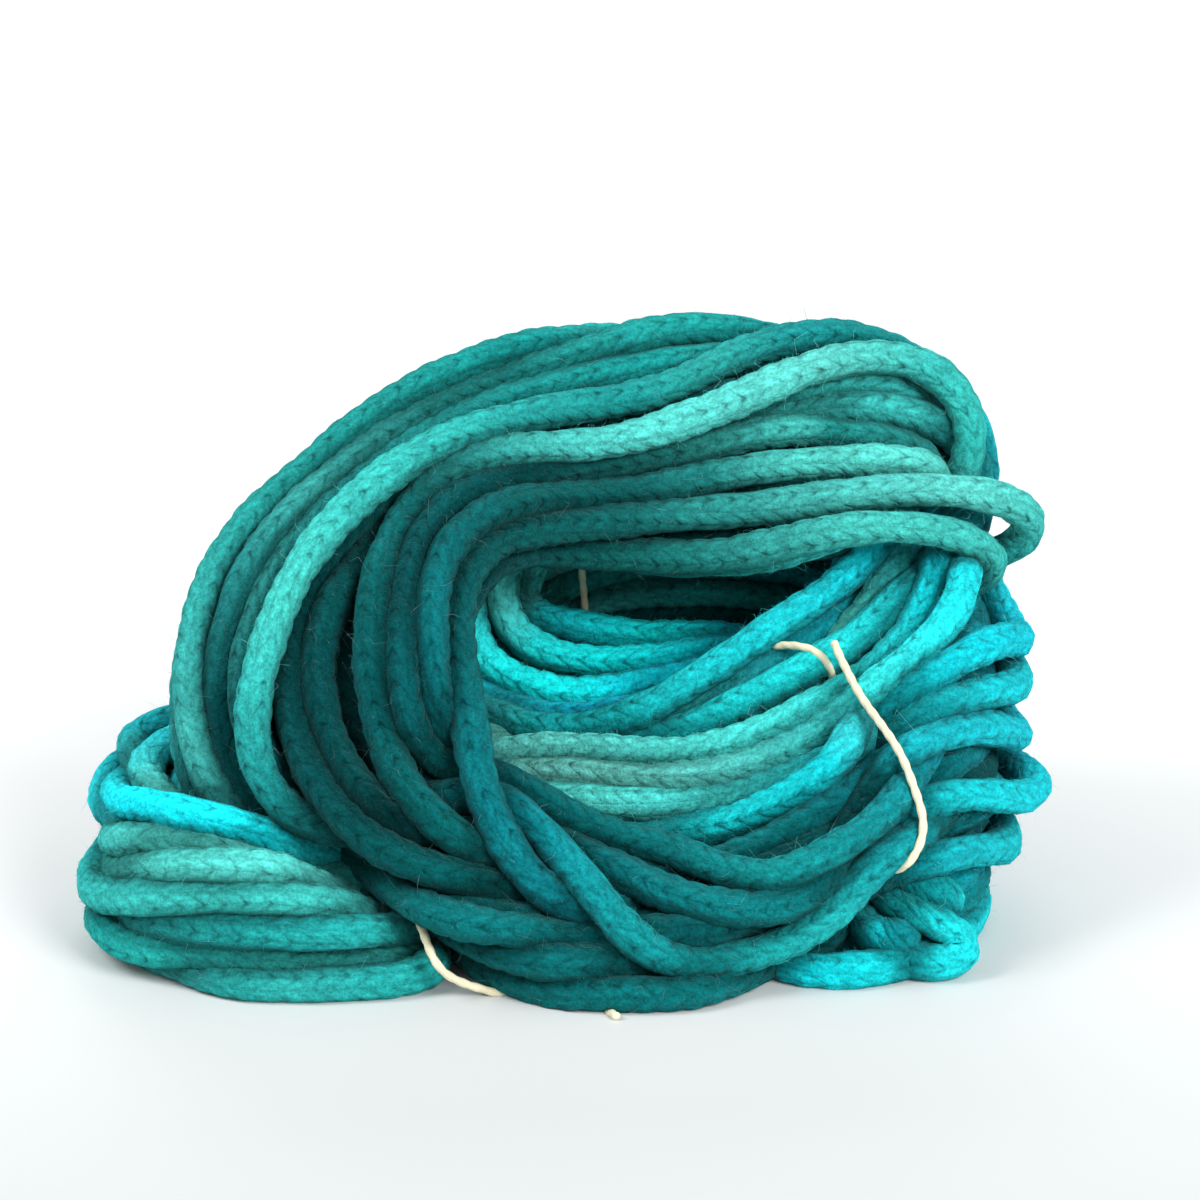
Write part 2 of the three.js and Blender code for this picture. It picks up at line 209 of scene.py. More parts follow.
# the turns start and close under the hank, where nothing shows
dense_s = START + np.linspace(0, len(ROWS), TURN_POINTS * FINE, endpoint=False)
creep_s = np.array([(PLACE[name] - START) % len(ROWS) for name in CREEP] + [len(ROWS)], float)
creep = np.interp(dense_s - START, creep_s, list(CREEP.values()) + [0.0])
ring_spot = np.arange(COUNT)[:, None] + creep + stray(COUNT, (3, 5, 8, 13), ASIDE_STRAY)
lower = np.floor(ring_spot).astype(int)
part = (ring_spot - lower)[..., None]
dense_place = RING_PLACES[lower % COUNT] * (1 - part) + RING_PLACES[(lower + 1) % COUNT] * part
half_width = np.linalg.norm(along(ROWS, dense_s)[:, 3:6], axis=-1)
drawn = np.clip((WIDE_BAND - half_width) / (WIDE_BAND - DRAWN_BAND), 0, 1)
sunk = (np.arange(COUNT) % 2)[:, None] * drawn * SINK
dense_through = dense_place[..., 1] * (1 - sunk) + stray(COUNT, (2, 5, 7, 11), THROUGH_STRAY)
slack = np.abs(stray(COUNT, (4, 7, 9), SLACK))
every_s = np.broadcast_to(dense_s, (COUNT, len(dense_s)))
dense_points, _ = in_band(every_s, dense_place[..., 0], dense_through, slack)


def shared_out(points, s):
    """A closed turn's points and places again, in TURN_POINTS steps of equal length."""
    run = np.append(0, np.cumsum(np.linalg.norm(np.roll(points, -1, axis=0) - points, axis=1)))
    stops = np.arange(TURN_POINTS) / TURN_POINTS * run[-1]
    loop = np.vstack([points, points[:1]])
    new = np.stack([np.interp(stops, run, loop[:, k]) for k in range(3)], axis=1)
    return new, np.interp(stops, run, np.append(s, s[0] + len(ROWS)))


def smoothed(points, own):
    """A closed line's points, each drawn towards its two neighbours: own is the share that it keeps."""
    beside = (1 - own) / 2
    return points * own + (np.roll(points, 1, axis=0) + np.roll(points, -1, axis=0)) * beside


# The turns that the eye follows lie where the photograph shows them. Each entry gives the two places
# between which a turn is led, the points it is led through, in mm in the table's frame, and its dye on
# the way.
LED = {
    "over_the_shoulder": ("top_turn", "heel", [
        (72, 25, 130), (62, 32, 132), (44, 32, 130), (31, 30, 127), (22, 20, 122), (10, 17, 118),
        (-1, 14, 118), (-14, 10, 117), (-25, 4, 115), (-33, 0, 113), (-45, -8, 110), (-54, -16, 104),
        (-64, -24, 96), (-71, -33, 87), (-76, -42, 73), (-79, -48, 64), (-79, -55, 52), (-76, -60, 41),
    ], "1A8B8B 188182 2A9A95 1C8E8C 269996 31ABA5 3BB9B2 44C2B9 2FAAA6 0C6D6E"),
    "across_the_top": ("top_turn", "left_low", [
        (94, 18, 105), (91, 21, 113), (85, 23, 122), (79, 25, 127), (65, 24, 128), (52, 23, 126),
        (39, 18, 121), (24, 13, 115), (14, 10, 113), (4, 8, 109), (-11, 3, 110), (-24, 0, 110),
        (-35, -3, 107), (-43, -12, 101), (-48, -21, 94), (-50, -35, 86), (-51, -45, 75), (-50, -53, 62),
    ], "2CA7A0 35A8A2 59C2B9 55C6BE 4EC0B8 35A29C 107171 065657 054D4F"),
    "under_the_first": ("top_right", "left_low", [
        (48, 21, 114), (32, 17, 109), (14, 14, 106), (-4, 9, 104), (-15, 4, 104), (-28, -5, 104),
        (-36, -11, 102), (-41, -20, 97), (-45, -29, 90), (-46, -38, 82), (-46, -49, 73), (-44, -53, 61),
    ], "44B6AE 35A29B 238582 0E6060 065354 07585B 065558 075D61"),
    "end_loop_high": ("top_turn", "left_low", [
        (95, 18, 99), (81, 11, 103), (69, 9, 105), (55, 10, 105), (38, 11, 103), (27, 12, 101),
        (17, 6, 99), (2, 5, 97), (-9, -2, 98), (-21, -11, 99), (-29, -19, 97), (-35, -26, 94),
        (-38, -34, 88), (-39, -42, 81), (-38, -49, 71), (-36, -55, 59),
    ], "5ECDC2 58CAC0 4AB6AD 1D7774 0A5555 095050 085B5D 08696E 086A6E"),
    "end_loop": ("rise_high", "bottom_left", [
        (96, 26, 78), (103, 18, 81), (107, 12, 87), (106, 6, 94), (98, 3, 99), (68, 0, 101),
        (52, 1, 98), (39, 4, 94), (20, 5, 94), (9, 1, 93), (-2, -2, 93), (-14, -7, 94), (-23, -13, 95),
        (-30, -23, 94), (-34, -31, 89), (-35, -34, 80), (-34, -42, 70), (-32, -50, 61), (-30, -56, 52),
        (-27, -59, 44), (-23, -63, 35), (-14, -66, 24), (-6, -74, 17), (-5, -72, 18), (4, -74, 12),
    ], "1B8F8D 3BAFA7 5AC6BD 49B6AF 288580 0E5B5A 084D4D 064F50 075E61 096E75 0C7A83 09727A"),
    "end_loop_low": ("rise_high", "left_high", [
        (90, 12, 76), (96, 5, 81), (94, -1, 85), (91, -1, 89), (81, -6, 93), (68, -6, 94), (55, -7, 93),
        (43, -6, 89), (31, -2, 84), (15, 3, 83), (0, 2, 85), (-12, 0, 86), (-21, -5, 88),
        (-28, -20, 88), (-32, -27, 83),
    ], "1B8F8D 3CB1A9 41B1A8 339892 1A706C 0F5B58 074747 054142"),
    "front_edge": ("heel", "right_out", [
        (-28, -50, 50), (-22, -56, 43), (-9, -60, 29), (-3, -68, 22), (4, -76, 17), (10, -75, 10),
        (19, -72, 6), (27, -68, 6), (37, -67, 10), (47, -63, 14), (53, -64, 22), (58, -61, 28),
        (63, -56, 32), (74, -50, 34),
    ], "09656A 0B7C84 0D858C 118A8D 10888A 1A9D9D 20AAAA 15989D 119198"),
    "front_inner": ("heel", "right_out", [
        (-22, -48, 48), (-14, -52, 39), (-4, -52, 33), (5, -52, 30), (15, -52, 28), (24, -57, 26),
        (33, -64, 23), (40, -67, 22), (47, -65, 24), (52, -62, 27), (59, -55, 31), (69, -49, 37),
    ], "065458 075C5E 0A6567 0D7577 128484 0E7D80 0F878D"),
    "front_middle": ("heel", "tie_low", [
        (-18, -54, 41), (-9, -55, 33), (-3, -57, 29), (7, -60, 24), (17, -66, 22), (26, -70, 20),
        (36, -69, 19), (45, -66, 20), (52, -63, 24),
    ], "065356 086569 0B7174 0E7D80"),
    "light_first": ("light_in", "rise_high", [
        (-20, -10, 39), (-10, -13, 40), (4, -17, 40), (14, -20, 40), (25, -24, 41), (35, -26, 45),
        (45, -26, 49), (59, -25, 56), (65, -20, 59), (71, -14, 66), (76, -3, 71), (78, 3, 78),
        (78, 2, 86),
    ], "67D5CB 58D5CC 4ED5CD 43D5CF 2BD4D5 17CCD5 11C8D5"),
    "light_second": ("light_in", "rise_high", [
        (-18, -15, 35), (-7, -18, 35), (4, -22, 35), (18, -27, 35), (31, -30, 38), (45, -29, 43),
        (55, -29, 48), (64, -30, 55), (72, -26, 61), (80, -25, 69), (84, -15, 75), (85, -2, 78),
    ], "77DBD0 72DBCF 63DBD2 4DDBD6 36DBDA 1FD4DB 17D2DB"),
    "light_third": ("light_in", "tie_high", [
        (-12, -22, 32), (-3, -26, 30), (7, -29, 30), (21, -31, 32), (35, -30, 35), (47, -34, 41),
        (57, -37, 46), (64, -35, 50),
    ], "56D2C7 4FD2CA 45D2CD 33D2D2 1FCDD2"),
    "light_fourth": ("light_left", "tie_high", [
        (4, -31, 26), (14, -32, 25), (25, -36, 28), (37, -41, 33), (51, -43, 41), (61, -43, 47),
    ], "1BAFB1 17B8BB 15C8CF 13BBC5"),
    "rise_first": ("light_in", "rise_high", [
        (-16, -2, 34), (-5, -3, 37), (3, -6, 40), (10, -11, 46), (21, -8, 53), (28, -7, 58),
        (39, -8, 64), (47, -4, 70), (53, 0, 73), (61, 5, 77),
        (67, 10, 82),
    ], "1BBABC 17ADB0 1AC1C7 1BC3CB 10BCCB"),
    "rise_second": ("light_left", "rise_high", [
        (4, -10, 34), (16, -12, 41), (28, -16, 48), (42, -15, 56), (53, -15, 62), (60, -11, 64),
        (66, -6, 69), (69, 0, 74),
        (71, 7, 81),
    ], "1BB3B5 1AC1C3 20C9CB 18A4A9"),
    "bright_first": ("inner_down", "bright_right", [
        (-18, 38, 59), (-9, 36, 57), (0, 33, 55), (11, 30, 53), (25, 28, 53),
    ], "22DAE2 1BF4FC 16FCFC 17F7FC"),
    "bright_second": ("inner_up", "bright_right", [
        (-24, 34, 70), (-27, 33, 64), (-26, 31, 58), (-22, 26, 54), (-10, 23, 50), (0, 22, 49),
        (15, 22, 49), (26, 20, 50),
    ], "6AF4EA 5DFCF6 26FCFC 16FCFC 13F6FC 13E9FC"),
    "bright_third": ("inner_up", "bright_right", [
        (-30, 36, 68), (-34, 32, 60), (-33, 26, 53), (-27, 20, 48), (-18, 16, 45), (-7, 15, 43),
        (4, 16, 44), (18, 17, 47), (24, 17, 48),
    ], "53EBE2 38F9F9 1CFCFC 17FCFC 15ECFC 13D5EF"),
    "bright_fourth": ("inner_down", "bright", [
        (-22, 4, 40), (-10, 3, 40), (4, 0, 42), (11, -2, 45),
    ], "20D0DA 12DAF8 0FC7E5"),
    "low_first": ("bright_right", "low_right_under", [
        (60, -46, 19), (68, -55, 20), (77, -53, 20), (85, -48, 16), (89, -45, 11), (87, -44, 8),
    ], "19C9CD 18C9CE 1BC8CE"),
    "low_second": ("bright_right", "low_right_under", [
        (58, -50, 14), (66, -56, 15), (74, -59, 14), (83, -52, 9), (89, -50, 5), (89, -53, 4),
        (86, -56, 4), (81, -58, 4), (75, -58, 4), (69, -55, 4),
    ], "15BBBE 1CCBCE 1BC8CE 1BC7CE 19C3C6"),
    "low_third": ("bright_right", "low_right_under", [
        (53, -54, 8), (60, -60, 8), (69, -58, 6), (74, -60, 7), (76, -54, 6),
    ], "19C8CE 15C5CE 18C5CE"),
    "low_fourth": ("low_right_back", "floor_right", [
        (72, -54, 6), (63, -60, 4), (57, -63, 4), (52, -64, 4), (45, -64, 4), (39, -62, 4),
        (33, -58, 4),
    ], "1BBEC3 14C7CE 0FC4CE 15C5CE"),
    "knob_b": ("tie_low", "right_back", [
        (70, -24, 54), (75, -31, 63), (80, -28, 66), (87, -23, 68), (93, -19, 70), (98, -8, 65),
        (99, 6, 59),
    ], "16C1C8 0FBCC8 0EB9C8 0BB5C8"),
    "knob_c": ("tie_low", "right_back", [
        (72, -28, 52), (76, -33, 57), (82, -30, 58), (91, -22, 57), (98, -14, 56), (101, -2, 51),
    ], "1BC1C8 15BEC8 16BEC8"),
    "knob_d": ("tie_low", "right_back", [
        (68, -40, 48), (76, -38, 49), (83, -34, 51), (91, -27, 50), (99, -14, 43), (100, -6, 38),
    ], "159EA9 17B7C3 16B8C8"),
    "knob_e": ("tie_low", "right_back", [
        (69, -46, 39), (79, -43, 38), (89, -38, 37), (99, -23, 31), (103, -20, 31), (105, -18, 33),
        (103, -14, 34), (100, -10, 35), (96, -4, 34),
    ], "14B1B8 17BFC8 13BCC8 13BAC8"),
    "knob_f": ("tie_low", "right_back", [
        (68, -53, 33), (79, -49, 31), (87, -43, 28), (96, -26, 22), (98, -16, 21),
    ], "12A2AB 17B7C0"),
    "left_first": ("floor_left", "low_left_back", [
        (-46, -38, 11), (-64, -50, 23), (-79, -58, 32), (-92, -60, 36), (-102, -50, 37),
        (-111, -34, 31), (-114, -20, 30), (-113, -8, 30),
    ], "4AE8E4 1AF1FC 13ECFC 2FEBEE"),
    "left_second": ("floor_left", "low_left_back", [
        (-45, -40, 9), (-64, -52, 21), (-79, -65, 31), (-88, -58, 33), (-99, -57, 34), (-110, -42, 27),
        (-115, -24, 23),
    ], "60D4C9 57D1C7 3DC6C0"),
    "left_third": ("floor_left", "low_left_back", [
        (-44, -42, 7), (-59, -54, 18), (-70, -68, 28), (-79, -66, 31), (-87, -64, 30), (-99, -62, 28),
        (-109, -44, 20), (-115, -26, 15),
    ], "57CBC2 52CCC3 41C4BC"),
    "left_fourth": ("floor_left", "low_left_back", [
        (-42, -44, 5), (-52, -54, 15), (-62, -70, 24), (-70, -69, 27), (-79, -68, 26), (-87, -65, 23),
        (-99, -64, 22), (-108, -52, 17), (-115, -42, 16), (-117, -24, 13),
    ], "45BEB6 3CBEB7 32B8B4"),
    "left_fifth": ("floor_left", "low_left_back", [
        (-39, -48, 4), (-47, -56, 9), (-53, -70, 17), (-62, -69, 17), (-70, -70, 17), (-82, -67, 15),
        (-93, -65, 16), (-102, -63, 17), (-112, -36, 11),
    ], "249F9C 209B99 27A09C"),
    "left_sixth": ("low_left_in", "low_left_end", [
        (-37, -68, 10), (-43, -66, 10), (-54, -62, 7), (-65, -69, 9), (-76, -70, 10), (-88, -66, 9),
        (-99, -63, 10), (-108, -54, 10), (-114, -44, 11),
    ], "40BAB3 3AB7B0 27AEA8 1FA7A4"),
    "left_lowest": ("floor_left", "low_left_turn", [
        (-31, -66, 4), (-37, -70, 6), (-48, -70, 4), (-59, -70, 4), (-70, -71, 4), (-79, -70, 5),
        (-87, -68, 7),
    ], "1D9996 249F9C 2EA5A1 249E99"),
}


def curve_through(corners, step):
    """Points a step apart on a smooth curve through the corners, from end to end."""
    corners = (np.array(corners, float) + SHIFT) * MM
    ends = np.vstack([2 * corners[0] - corners[1], corners, 2 * corners[-1] - corners[-2]])
    fine = along(ends, np.linspace(1, len(corners) - 1e-9, len(corners) * 40))
    run = np.append(0, np.cumsum(np.linalg.norm(np.diff(fine, axis=0), axis=1)))
    stops = np.linspace(0, run[-1], max(6, round(run[-1] / step)) + 1)
    return np.stack([np.interp(stops, run, fine[:, k]) for k in range(3)], axis=1)


def later(name):
    """A named place's number, counted on from START."""
    return START + (PLACE[name] - START) % len(ROWS)


# each guide takes the free turn that runs nearest to it, and that turn leaves its own line for the guide
STEP = 4 * MM
JOIN = 4
REACH = 1.6
turns = [shared_out(p, dense_s) for p in dense_points]
led_places = [[] for _ in range(COUNT)]
for leaves, joins, corners, dyes in LED.values():
    course = curve_through(corners, STEP)
    low, high = later(leaves), later(joins)
    away = []
    for k, (points, s) in enumerate(turns):
        near = points[(s > low) & (s < high)]
        taken = any(low < end and high > begin for begin, end, _ in led_places[k])
        gap = np.linalg.norm(near[:, None, :] - course[None, ::3, :], axis=-1).min(axis=0).mean()
        away.append(np.inf if taken else gap)
    number = int(np.argmin(away))
    points, s = turns[number]
    first_gap = np.where(np.abs(s - low) < REACH, np.linalg.norm(points - course[0], axis=1), np.inf)
    last_gap = np.where(np.abs(s - high) < REACH, np.linalg.norm(points - course[-1], axis=1), np.inf)
    i0, i1 = int(np.argmin(first_gap)), int(np.argmin(last_gap))
    led_places[number].append((s[i0], s[i1], dyes))
    led_s = np.linspace(s[i0], s[i1], len(course))
    points = np.vstack([points[:i0 - JOIN], course, points[i1 + JOIN:]])
    s = np.concatenate([s[:i0 - JOIN], led_s, s[i1 + JOIN:]])
    for _ in range(3):
        points = smoothed(points, 0.5)
    turns[number] = shared_out(points, s)
turn_points = np.stack([points for points, _ in turns])
turn_s = np.stack([s for _, s in turns])

# The ties' middle lines: three lengths of cotton thread go round the band and lie on the wool, so they
# settle with it. The one at the left comes out from under the front fold and ends on the table.
TIES = {
    "tie_right": [
        (54, -20, 70), (56, -25, 66), (60, -34, 60), (64, -42, 56), (68, -48, 51), (71, -52, 44),
        (73, -56, 37), (71, -60, 31), (67, -58, 27), (62, -48, 24), (57, -38, 22), (53, -27, 25),
        (50, -13, 34), (46, 0, 46), (42, 1, 56), (41, -6, 64), (47, -13, 66), (52, -15, 64),
        (54, -12, 58),
    ],
    "tie_left": [
        (-46, -48, 22), (-43, -56, 19), (-40, -66, 16), (-36, -76, 11), (-31, -73, 6), (-24, -70, 3),
        (-14, -68, 3), (-4, -72, 3), (2, -80, 3), (4, -86, 3),
    ],
    "tie_back": [
        (-8, 40, 92), (-6, 41, 84), (-5, 41, 72), (-4, 42, 60), (-4, 45, 50), (-5, 55, 46),
        (-6, 65, 50), (-6, 68, 62), (-7, 68, 76), (-8, 66, 90), (-8, 56, 97), (-9, 46, 98),
    ],
}
TIE = 2 * MM
tie_points = {name: curve_through(corners, STEP / 2) for name, corners in TIES.items()}

# Settling: the turns press each other apart where they would pass through one another, as soft wool
# does, and each push is shared out along the yarn, so that it stays smooth. Led turns give way least.
WOOL = 8.5 * MM
PRESSED = 0.81
SETTLE_ROUNDS = 120
LOOK_AGAIN = 15
NEAR = YARN * 1.2
TIE_GIVES = 0.15
LED_GIVES = 0.2
PUSH = 1.4
EVEN_OUT = 0.4
STAYS_MOVED = 0.985
lengths = [TURN_POINTS] * COUNT + [len(p) for p in tie_points.values()]
start = np.append(0, np.cumsum(lengths))
owner = np.repeat(np.arange(len(lengths)), lengths)
index = np.arange(len(owner))
first, last = start[owner], start[owner + 1] - 1
closed = owner < COUNT
before = np.where(index > first, index - 1, np.where(closed, last, index))
after = np.where(index < last, index + 1, np.where(closed, first, index))
is_tie = owner >= COUNT
size = np.where(is_tie, TIE / 2 * 0.9, WOOL / 2 * PRESSED)
is_led = np.zeros(len(owner), bool)
for number, entries in enumerate(led_places):
    for low, high, _ in entries:
        is_led[start[number]:start[number + 1]] |= (turn_s[number] >= low) & (turn_s[number] <= high)
gives = np.where(is_tie, TIE_GIVES, np.where(is_led, LED_GIVES, 1.0))
home = np.concatenate([turn_points.reshape(-1, 3), *tie_points.values()])

# a turn that would hide a led one moves behind it, as seen from the photograph's side
SIGHT = np.array([0, math.cos(CAMERA_PITCH), -math.sin(CAMERA_PITCH)])
HIDES_UP_TO = 24 * MM
depth = home @ SIGHT
flat = home - depth[:, None] * SIGHT
led_flat, led_depth = flat[is_led], depth[is_led]
moves_back = np.zeros(len(home))
for k in range(0, len(home), 500):
    rows = slice(k, k + 500)
    aside = np.linalg.norm(flat[rows, None, :] - led_flat[None, :, :], axis=-1)
    in_front = led_depth[None, :] + WOOL * 0.6 - depth[rows, None]
    hides = (aside < WOOL * 0.8) & (in_front > 0) & (in_front < HIDES_UP_TO)
    moves_back[rows] = np.where(hides, in_front, 0).max(axis=1)
moves_back[is_led | is_tie] = 0
for _ in range(4):
    moves_back = np.maximum(moves_back, (moves_back[before] + moves_back[after]) / 2 * 0.9)
moves_back[is_led | is_tie] = 0
home = home + moves_back[:, None] * SIGHT
for _ in range(3):
    home = np.where(is_tie[:, None], home, home * 0.5 + (home[before] + home[after]) * 0.25)
spot = home.copy()


def near_pairs(spot, limit):
    """All pairs of points closer than limit that aren't neighbours on the same yarn."""
    found = []
    square = (spot**2).sum(-1)
    for k in range(0, len(spot), 600):
        block = spot[k:k + 600]
        gap2 = square[k:k + 600, None] + square[None, :] - 2 * block @ spot.T
        i, j = np.nonzero(gap2 < limit**2)
        i = i + k
        apart = np.abs(i - j)
        apart = np.where(closed[i], np.minimum(apart, TURN_POINTS - apart), apart)
        good = (i < j) & ((owner[i] != owner[j]) | (apart > 4))
        found.append(np.stack([i[good], j[good]]))
    return np.concatenate(found, axis=1)


for turn in range(SETTLE_ROUNDS):
    if turn % LOOK_AGAIN == 0:
        i, j = near_pairs(spot, NEAR)
    gap = spot[i] - spot[j]
    distance = np.linalg.norm(gap, axis=1)
    overlap = np.maximum(size[i] + size[j] - distance, 0)
    push = gap / np.maximum(distance, 1e-9)[:, None] * overlap[:, None] * 0.5
    share = (gives[i] / (gives[i] + gives[j]))[:, None] * 2
    pushed, pushed_back = push * share, push * (2 - share)
    change = np.stack([
        np.bincount(i, pushed[:, k], len(spot)) - np.bincount(j, pushed_back[:, k], len(spot))
        for k in range(3)
    ], axis=1)
    touching = np.bincount(i, overlap > 0, len(spot)) + np.bincount(j, overlap > 0, len(spot))
    spot += change / np.maximum(touching, 1)[:, None] * PUSH
    moved = spot - home
    for _ in range(2):
        moved += EVEN_OUT * ((moved[before] + moved[after]) / 2 - moved)
    spot = home + moved * STAYS_MOVED
    spot[:, 2] = np.maximum(spot[:, 2], size * 1.02)

# the ties end up on the wool's surface, but for the end of one that comes out from under the wool
HIDDEN_POINTS = 13
HIDDEN_TIE = COUNT + list(TIES).index("tie_left")
wool_spot = spot[~is_tie]
rises = is_tie & (index - start[owner] >= np.where(owner == HIDDEN_TIE, HIDDEN_POINTS, 0))
tie_spot = spot[rises]
for _ in range(14):
    gap = tie_spot[:, None, :] - wool_spot[None, :, :]
    distance = np.linalg.norm(gap, axis=-1)
    overlap = np.maximum(WOOL / 2 + TIE * 0.35 - distance, 0)
    step = (gap / distance[..., None] * overlap[..., None]).sum(axis=1)
    tie_spot += step / np.maximum((overlap > 0).sum(axis=1), 1)[:, None]
spot[rises] = tie_spot
for _ in range(2):
    spot = np.where(is_tie[:, None], spot * 0.5 + (spot[before] + spot[after]) * 0.25, spot)
yarns = [spot[start[k]:start[k + 1]] for k in range(len(lengths))]

# every turn is shared out again, so that its stitches stay even
for k in range(COUNT):
    yarns[k], turn_s[k] = shared_out(yarns[k], turn_s[k])
    for _ in range(2):
        yarns[k] = smoothed(yarns[k], 0.6)
_, turn_side = in_band(turn_s, np.zeros_like(turn_s), np.zeros_like(turn_s))

# The yarn: a chain of knitted stitches, felted a little, so that each turn shows columns of V stitches.
# Each turn is a closed tube whose surface rises over the legs of the stitches and sinks between them.
COLUMNS = 4
STITCH = 5.2 * MM
RINGS_PER_STITCH = 4
SIDES = 12
RELIEF = 0.4 * MM
SLANT = 0.75
SWELLS = ((9, 0.04), (23, 0.035), (57, 0.03), (101, 0.025))


def yarn_tube(points, side, turn_angle):
    """A closed tube round a turn's middle line. The radius at column place u and stitch place v is that
    of the yarn, slowly swelling and shrinking as a sum of sines, plus the relief of the V stitches: each
    column has two legs, c away from its middle, and each leg is a rounded bump once per stitch that
    starts later the further out it is. Gives the points as rings by sides, the middles and where each
    ring lies."""
    count = len(points)
    length = np.linalg.norm(np.roll(points, -1, axis=0) - points, axis=1).sum()
    rings = max(4, round(length / STITCH)) * RINGS_PER_STITCH
    s = np.arange(rings) / rings * count
    middle = along(points, s)
    guide = along(side, s)
    ahead = unit(np.roll(middle, -1, axis=0) - np.roll(middle, 1, axis=0))
    guide = unit(guide - (guide * ahead).sum(-1, keepdims=True) * ahead)
    other = np.cross(ahead, guide)
    turning = 2 * np.pi * np.arange(rings)[:, None] / rings
    v = np.arange(rings)[:, None] / RINGS_PER_STITCH
    twist = 0.7 * np.sin(5 * turning + turn_angle * 3)
    angle = -2 * np.pi * np.arange(SIDES)[None, :] / SIDES + turn_angle + twist
    u = np.arange(SIDES)[None, :] / SIDES * COLUMNS
    lumps = 1
    for (waves, swell), phase in zip(SWELLS, random.uniform(0, 2 * np.pi, len(SWELLS))):
        lumps = lumps + swell * np.sin(waves * turning + phase)
    c = np.abs(u % 1 - 0.5) * 2
    q = (v - SLANT * c + np.floor(u) / 2) % 1
    radius = WOOL / 2 * lumps + RELIEF * (np.sin(np.pi * c) * np.sin(np.pi * q) - 0.4)
    ring = guide[:, None, :] * np.cos(angle)[..., None] + other[:, None, :] * np.sin(angle)[..., None]
    surface = middle[:, None, :] + ring * radius[..., None]
    surface[..., 2] = np.maximum(surface[..., 2], 0.1 * MM)
    return surface, middle, s


# The dye: the hank was dyed by hand, from dark teal over aqua to bright turquoise. Each table gives the
# colour at named places of the band, the first for most of its width and the second for its outer edge,
# which took less dye where the hank was bent over.
def paint(code):
    """A colour's hex code as linear red, green and blue."""
    srgb = np.array([int(code[k:k + 2], 16) for k in (0, 2, 4)]) / 255
    return np.where(srgb <= 0.04045, srgb / 12.92, ((srgb + 0.055) / 1.055) ** 2.4)


DYE = {
    "top_right": "54EDE5",
    "top_mid_right": "2CA09B",
    "top_mid": "198581",
    "top_mid_left": "117473",
    "shoulder_high": "0C6666",
    "left_high": "075456",
    "left_low": "054749",
    "heel": "064F50",
    "heel_low": "055657",
    "bottom": "065D60",
    "bottom_right": "05595C",
    "tie_low": "096E71",
    "right_out": "19B9C4",
    "right_turn_a": "1AD0E0",
    "right_back": "169FAA",
    "back": "158382",
    "back_left": "2CA7A0",
    "inner_up": "57C0BB",
    "inner_down": "2CD8DE",
    "bright_left": "14E8FB",
    "bright": "12E0F9",
    "bright_right": "17C7DD",
    "low_turn": "18D3DB",
    "low_right_under": "15A7B1",
    "floor_mid": "128C92",
    "low_left_in": "239D9D",
    "low_left_front": "46C1B8",
    "low_left_turn": "55C9BF",
    "low_left_end": "2BCBD4",
    "light_in": "18AEB8",
    "light_left": "22A9AC",
    "light": "72D4C7",
    "light_right": "59D5CB",
    "tie_high": "3FD5D4",
    "rise": "13B0BD",
    "rise_high": "15A7B2",
    "top_turn": "47CDC5",
}
OUTER_DYE = {
    "top_right": "3DD1CA", "top_mid": "148A88", "top_mid_left": "1B8D89", "shoulder_high": "269893",
    "shoulder": "34A09B", "left_high": "3DA39D", "left_mid": "278B89", "left_low": "08585A",
    "heel_low": "096264",
    "bottom": "0A686A", "tie_low": "0D7E82", "right_out": "17AEB9", "back": "178A88",
    "inner_down": "22C0C6",
    "bright_right": "15B7CC", "low_turn": "17CAD2", "floor_mid": "128C92", "low_left_turn": "4FC2B9",
    "light": "69C9BC", "rise": "15BDCB",
}


def dye_at(table, s):
    """A table's dye at places s on the band, running straight from one named place to the next."""
    places = np.array([PLACE[name] for name in table], float)
    colours = np.array([paint(code) for code in table.values()])
    order = np.argsort(places)
    places, colours = places[order], colours[order]
    places = np.concatenate([places[-1:] - len(ROWS), places, places[:1] + len(ROWS)])
    colours = np.vstack([colours[-1:], colours, colours[:1]])
    return np.stack([np.interp(s % len(ROWS), places, colours[:, k]) for k in range(3)], axis=-1)


class Shade:
    """A socket of the node tree that is worked with as a number, so that sums read as sums."""

    tree = None

    def __init__(self, socket):
        self.socket = socket

    @classmethod
    def node(cls, kind, settings=(), **values):
        """A new node of a type, with its settings made first and then its inputs' values or links."""
        made = cls.tree.nodes.new(kind)
        for name, value in dict(settings).items():
            setattr(made, name, value)
        for name, value in values.items():
            numbered = name[0] == "i" and name[1:].isdigit()
            socket = made.inputs[int(name[1:]) if numbered else name.replace("_", " ")]
            if isinstance(value, Shade):
                cls.tree.links.new(value.socket, socket)
            else:
                socket.default_value = value
        return made

    @classmethod
    def maths(cls, operation, *values):
        """A sum or other operation on one or two numbers."""
        inputs = {f"i{k}": value for k, value in enumerate(values)}
        return cls(cls.node("ShaderNodeMath", {"operation": operation}, **inputs).outputs[0])

    def __add__(self, other):
        return self.maths("ADD", self, other)

    def __radd__(self, other):
        return self.maths("ADD", other, self)

    def __sub__(self, other):
        return self.maths("SUBTRACT", self, other)

    def __rsub__(self, other):
        return self.maths("SUBTRACT", other, self)

    def __mul__(self, other):
        return self.maths("MULTIPLY", self, other)

    def __rmul__(self, other):
        return self.maths("MULTIPLY", other, self)

    def __truediv__(self, other):
        return self.maths("DIVIDE", self, other)

    def __pow__(self, other):
        return self.maths("POWER", self, other)

    def __mod__(self, other):
        return self.maths("FLOORED_MODULO", self, other)

    def __abs__(self):
        return self.maths("ABSOLUTE", self)


